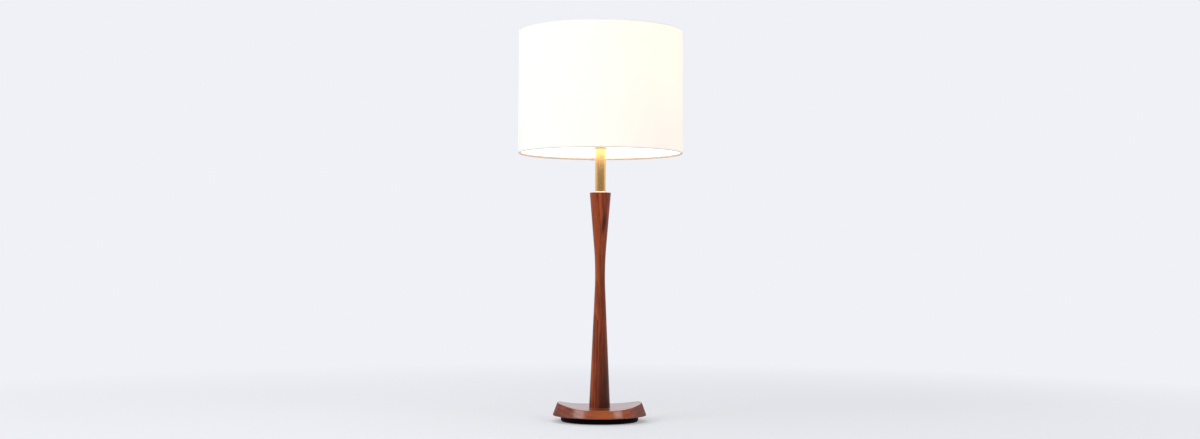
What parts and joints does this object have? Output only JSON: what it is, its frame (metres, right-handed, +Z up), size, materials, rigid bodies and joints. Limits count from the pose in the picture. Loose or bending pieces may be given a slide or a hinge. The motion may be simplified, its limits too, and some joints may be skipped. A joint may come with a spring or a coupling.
{
  "type": "table lamp",
  "caption": "Accent lamp: hourglass turned wooden stem on a saddle-topped round base, brass neck, harp, socket, bulb and white drum shade.",
  "frame": {"origin": "on the table, under the middle of the round base and on the stem's axis", "axes": "+Z up along the stem; X along the base's two horns and the harp; -Y is the front, where the switch knob points, and +Y is the back, where the cord leaves the base"},
  "size_m": [0.3809, 0.381, 0.9146],
  "materials": {
    "felt": "matte",
    "black_iron": "satin black paint",
    "zinc": "satin",
    "black_plastic": "matte",
    "walnut": "hand-rubbed oil",
    "steel_rod": "satin",
    "satin_brass": "satin",
    "harp_brass": "satin",
    "shell_brass": "polished",
    "liner_card": "matte",
    "phenolic": "satin",
    "contact_brass": "satin",
    "knob_black": "satin",
    "frosted_glass": "frosted",
    "cap_aluminium": "satin",
    "black_glass": "gloss",
    "tip_solder": "satin",
    "clear_glass": "clear",
    "filament_wire": "satin",
    "linen": "woven",
    "lining": "matte",
    "ring_steel": "white",
    "spider_brass": "satin"
  },
  "bodies": {
    "stand": {"felt_pad": "felt", "weight_plate": "black_iron", "plate_screws": "zinc", "cord_grommet": "black_plastic", "wood_base": "walnut", "rod_washer": "zinc", "rod_lock_washer": "zinc", "rod_nut": "zinc", "lamp_rod": "steel_rod", "lower_stem": "walnut", "upper_stem": "walnut", "stem_bead": "satin_brass", "brass_tube": "satin_brass", "tube_cap": "satin_brass", "harp_saddle": "harp_brass", "harp_wire": "harp_brass", "socket_cap": "shell_brass", "cap_screw": "zinc", "socket_shell": "shell_brass", "socket_liner": "liner_card", "socket_body": "phenolic", "screw_shell": "contact_brass", "centre_contact": "contact_brass", "terminal_screws": "contact_brass"},
    "switch": {"switch_shaft": "contact_brass", "switch_knob": "knob_black"},
    "bulb": {"bulb_glass": "frosted_glass", "bulb_cap": "cap_aluminium", "bulb_insulator": "black_glass", "bulb_tip": "tip_solder", "bulb_stem": "clear_glass", "bulb_filament": "filament_wire"},
    "left_ferrule": {"ferrule_left": "harp_brass"},
    "right_ferrule": {"ferrule_right": "harp_brass"},
    "shade": {"harp_stud": "spider_brass", "shade_linen": "linen", "shade_lining": "lining", "shade_top_ring": "ring_steel", "shade_bottom_ring": "ring_steel", "spider_arms": "spider_brass", "spider_hub": "spider_brass"},
    "finial_nut": {"finial": "satin_brass"}
  },
  "joints": [
    {"name": "switch_turn", "type": "hinge", "parent": "stand", "child": "switch", "pos_m": [0, -0.032, 0.6634], "axis": [0, -1, 0], "continuous": true},
    {"name": "bulb_turn", "type": "hinge", "parent": "stand", "child": "bulb", "pos_m": [0, 0, 0.68], "axis": [0, 0, 1], "continuous": true},
    {"name": "left_ferrule_slide", "type": "slide", "parent": "stand", "child": "left_ferrule", "axis": [0, 0, 1], "range_m": [0, 0.012]},
    {"name": "right_ferrule_slide", "type": "slide", "parent": "stand", "child": "right_ferrule", "axis": [0, 0, 1], "range_m": [0, 0.012]},
    {"name": "shade_turn", "type": "hinge", "parent": "stand", "child": "shade", "pos_m": [0, 0, 0.88], "axis": [0, 0, 1], "continuous": true},
    {"name": "finial_turn", "type": "hinge", "parent": "shade", "child": "finial_nut", "pos_m": [0, 0, 0.89], "axis": [0, 0, 1], "continuous": true}
  ]
}
